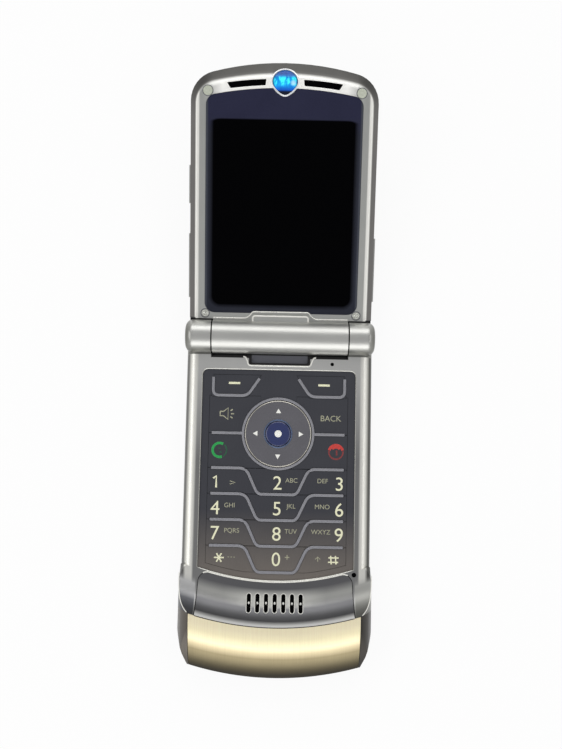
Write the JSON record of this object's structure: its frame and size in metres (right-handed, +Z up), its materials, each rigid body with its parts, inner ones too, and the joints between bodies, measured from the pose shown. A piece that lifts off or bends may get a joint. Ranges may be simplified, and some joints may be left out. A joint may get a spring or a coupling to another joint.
{
  "type": "flip phone",
  "caption": "Slim folding mobile phone, open: keypad base with a raised chin, full-width hinge barrel and a flip carrying the display and earpiece.",
  "frame": {"origin": "centre of the battery cover's back face, on the surface the phone lies on", "axes": "+X to the right seen from the keypad, +Y from the chin towards the flip, +Z up out of the keypad"},
  "size_m": [0.053, 0.1667, 0.0258],
  "materials": {
    "silver_metal": "satin silver-grey metal paint",
    "back_metal": "satin silver-grey metal",
    "rear_plastic": "silver-grey painted plastic",
    "chin_gold": "brushed champagne gold",
    "panel_grey": "satin grey metal",
    "keypad_metal": "etched charcoal metal",
    "rib_grey": "translucent grey light guide",
    "nav_grey": "satin dark grey metal with a polished edge",
    "select_navy": "glossy navy",
    "lens_dark": "clear window with a slate printed border",
    "outer_lens_dark": "smoked window",
    "display_black": "black display",
    "jewel_blue": "clear blue jewel",
    "rim_chrome": "polished",
    "bumper_rubber": "pale grey-green rubber",
    "screw_steel": "plated steel",
    "hinge_unit": "die-cast cam unit",
    "board_green": "circuit board",
    "film_white": "thin film",
    "part_black": "black plastic",
    "copper_film": "polyimide flex",
    "gold_plate": "plated plastic",
    "battery_grey": "plain wrapped pack"
  },
  "bodies": {
    "base": {"rear_housing": "rear_plastic", "front_housing": "silver_metal", "mic_panel": "panel_grey", "chin_cover": "chin_gold", "keypad_sheet": "keypad_metal", "light_guide": "rib_grey", "dome_sheet": "film_white", "main_board": "board_green", "board_shields": "screw_steel", "usb_socket": "screw_steel", "loudspeaker": "part_black", "microphone": "gold_plate", "antenna": "gold_plate", "card_holder": "screw_steel", "housing_screws": "screw_steel", "hinge_shaft": "screw_steel", "hinge_bush": "screw_steel", "hinge_flex": "copper_film"},
    "flip": {"flip_inner_housing": "silver_metal", "flip_outer_cover": "back_metal", "main_lens": "lens_dark", "main_display": "display_black", "outer_lens": "outer_lens_dark", "outer_display": "display_black", "camera_module": "part_black", "earpiece": "part_black", "vibrator": "hinge_unit", "jewel": "jewel_blue", "jewel_rim": "rim_chrome", "rubber_bumpers": "bumper_rubber", "flip_screws": "screw_steel", "flip_board": "board_green", "hinge_cam_unit": "hinge_unit"},
    "soft_key_left": {"soft_key_left": "keypad_metal"},
    "soft_key_right": {"soft_key_right": "keypad_metal"},
    "speaker_key": {"speaker_key": "keypad_metal"},
    "back_key": {"back_key": "keypad_metal"},
    "send_key": {"send_key": "keypad_metal"},
    "end_key": {"end_key": "keypad_metal"},
    "key_1": {"key_1": "keypad_metal"},
    "key_2": {"key_2": "keypad_metal"},
    "key_3": {"key_3": "keypad_metal"},
    "key_4": {"key_4": "keypad_metal"},
    "key_5": {"key_5": "keypad_metal"},
    "key_6": {"key_6": "keypad_metal"},
    "key_7": {"key_7": "keypad_metal"},
    "key_8": {"key_8": "keypad_metal"},
    "key_9": {"key_9": "keypad_metal"},
    "key_star": {"key_star": "keypad_metal"},
    "key_0": {"key_0": "keypad_metal"},
    "key_hash": {"key_hash": "keypad_metal"},
    "nav_ring": {"nav_ring": "nav_grey"},
    "nav_rocker": {"nav_rocker": "film_white"},
    "select_button": {"select_button": "select_navy"},
    "battery_cover": {"battery_cover": "back_metal"},
    "cover_latch": {"cover_latch": "part_black"},
    "battery": {"battery": "battery_grey"},
    "volume_key": {"volume_key": "back_metal"},
    "smart_key": {"smart_key": "back_metal"},
    "voice_key": {"voice_key": "back_metal"}
  },
  "joints": [
    {"name": "flip_hinge", "type": "hinge", "parent": "base", "child": "flip", "pos_m": [0, 0.046, 0.0075], "axis": [1, 0, 0], "range_deg": [0, 165]},
    {"name": "soft_key_left_press", "type": "slide", "parent": "base", "child": "soft_key_left", "axis": [0, 0, -1], "range_m": [0, 0.00015], "stiffness_N_per_m": 1000},
    {"name": "soft_key_right_press", "type": "slide", "parent": "base", "child": "soft_key_right", "axis": [0, 0, -1], "range_m": [0, 0.00015], "stiffness_N_per_m": 1000},
    {"name": "speaker_key_press", "type": "slide", "parent": "base", "child": "speaker_key", "axis": [0, 0, -1], "range_m": [0, 0.00015], "stiffness_N_per_m": 1000},
    {"name": "back_key_press", "type": "slide", "parent": "base", "child": "back_key", "axis": [0, 0, -1], "range_m": [0, 0.00015], "stiffness_N_per_m": 1000},
    {"name": "send_key_press", "type": "slide", "parent": "base", "child": "send_key", "axis": [0, 0, -1], "range_m": [0, 0.00015], "stiffness_N_per_m": 1000},
    {"name": "end_key_press", "type": "slide", "parent": "base", "child": "end_key", "axis": [0, 0, -1], "range_m": [0, 0.00015], "stiffness_N_per_m": 1000},
    {"name": "key_1_press", "type": "slide", "parent": "base", "child": "key_1", "axis": [0, 0, -1], "range_m": [0, 0.00015], "stiffness_N_per_m": 1000},
    {"name": "key_2_press", "type": "slide", "parent": "base", "child": "key_2", "axis": [0, 0, -1], "range_m": [0, 0.00015], "stiffness_N_per_m": 1000},
    {"name": "key_3_press", "type": "slide", "parent": "base", "child": "key_3", "axis": [0, 0, -1], "range_m": [0, 0.00015], "stiffness_N_per_m": 1000},
    {"name": "key_4_press", "type": "slide", "parent": "base", "child": "key_4", "axis": [0, 0, -1], "range_m": [0, 0.00015], "stiffness_N_per_m": 1000},
    {"name": "key_5_press", "type": "slide", "parent": "base", "child": "key_5", "axis": [0, 0, -1], "range_m": [0, 0.00015], "stiffness_N_per_m": 1000},
    {"name": "key_6_press", "type": "slide", "parent": "base", "child": "key_6", "axis": [0, 0, -1], "range_m": [0, 0.00015], "stiffness_N_per_m": 1000},
    {"name": "key_7_press", "type": "slide", "parent": "base", "child": "key_7", "axis": [0, 0, -1], "range_m": [0, 0.00015], "stiffness_N_per_m": 1000},
    {"name": "key_8_press", "type": "slide", "parent": "base", "child": "key_8", "axis": [0, 0, -1], "range_m": [0, 0.00015], "stiffness_N_per_m": 1000},
    {"name": "key_9_press", "type": "slide", "parent": "base", "child": "key_9", "axis": [0, 0, -1], "range_m": [0, 0.00015], "stiffness_N_per_m": 1000},
    {"name": "key_star_press", "type": "slide", "parent": "base", "child": "key_star", "axis": [0, 0, -1], "range_m": [0, 0.00015], "stiffness_N_per_m": 1000},
    {"name": "key_0_press", "type": "slide", "parent": "base", "child": "key_0", "axis": [0, 0, -1], "range_m": [0, 0.00015], "stiffness_N_per_m": 1000},
    {"name": "key_hash_press", "type": "slide", "parent": "base", "child": "key_hash", "axis": [0, 0, -1], "range_m": [0, 0.00015], "stiffness_N_per_m": 1000},
    {"name": "nav_tip_side", "type": "hinge", "parent": "base", "child": "nav_rocker", "pos_m": [0, 0.019, 0.0065], "axis": [0, 1, 0], "range_deg": [-1, 1], "stiffness_Nm_per_rad": 0.3},
    {"name": "nav_tip_front", "type": "hinge", "parent": "nav_rocker", "child": "nav_ring", "pos_m": [0, 0.019, 0.0065], "axis": [1, 0, 0], "range_deg": [-1, 1], "stiffness_Nm_per_rad": 0.3},
    {"name": "select_press", "type": "slide", "parent": "base", "child": "select_button", "axis": [0, 0, -1], "range_m": [0, 0.00015], "stiffness_N_per_m": 1000},
    {"name": "volume_rock", "type": "hinge", "parent": "flip", "child": "volume_key", "pos_m": [-0.0232, 0.06589, 0.009], "axis": [0, -0.2588, 0.9659], "range_deg": [-1.2, 1.2], "stiffness_Nm_per_rad": 0.5},
    {"name": "smart_press", "type": "slide", "parent": "flip", "child": "smart_key", "axis": [1, 0, 0], "range_m": [0, 0.0003], "stiffness_N_per_m": 1000},
    {"name": "voice_press", "type": "slide", "parent": "flip", "child": "voice_key", "axis": [-1, 0, 0], "range_m": [0, 0.0003], "stiffness_N_per_m": 1000},
    {"name": "cover_off", "type": "slide", "parent": "base", "child": "battery_cover", "axis": [0, 0, -1], "range_m": [0, 0.024]},
    {"name": "battery_out", "type": "slide", "parent": "base", "child": "battery", "axis": [0, 0, -1], "range_m": [0, 0.012]},
    {"name": "latch_slide", "type": "slide", "parent": "base", "child": "cover_latch", "axis": [0, 1, 0], "range_m": [0, 0.0008], "stiffness_N_per_m": 500}
  ],
  "couplings": [
    {"joint": "battery_out", "follows": "cover_off", "ratio": 0.5}
  ]
}
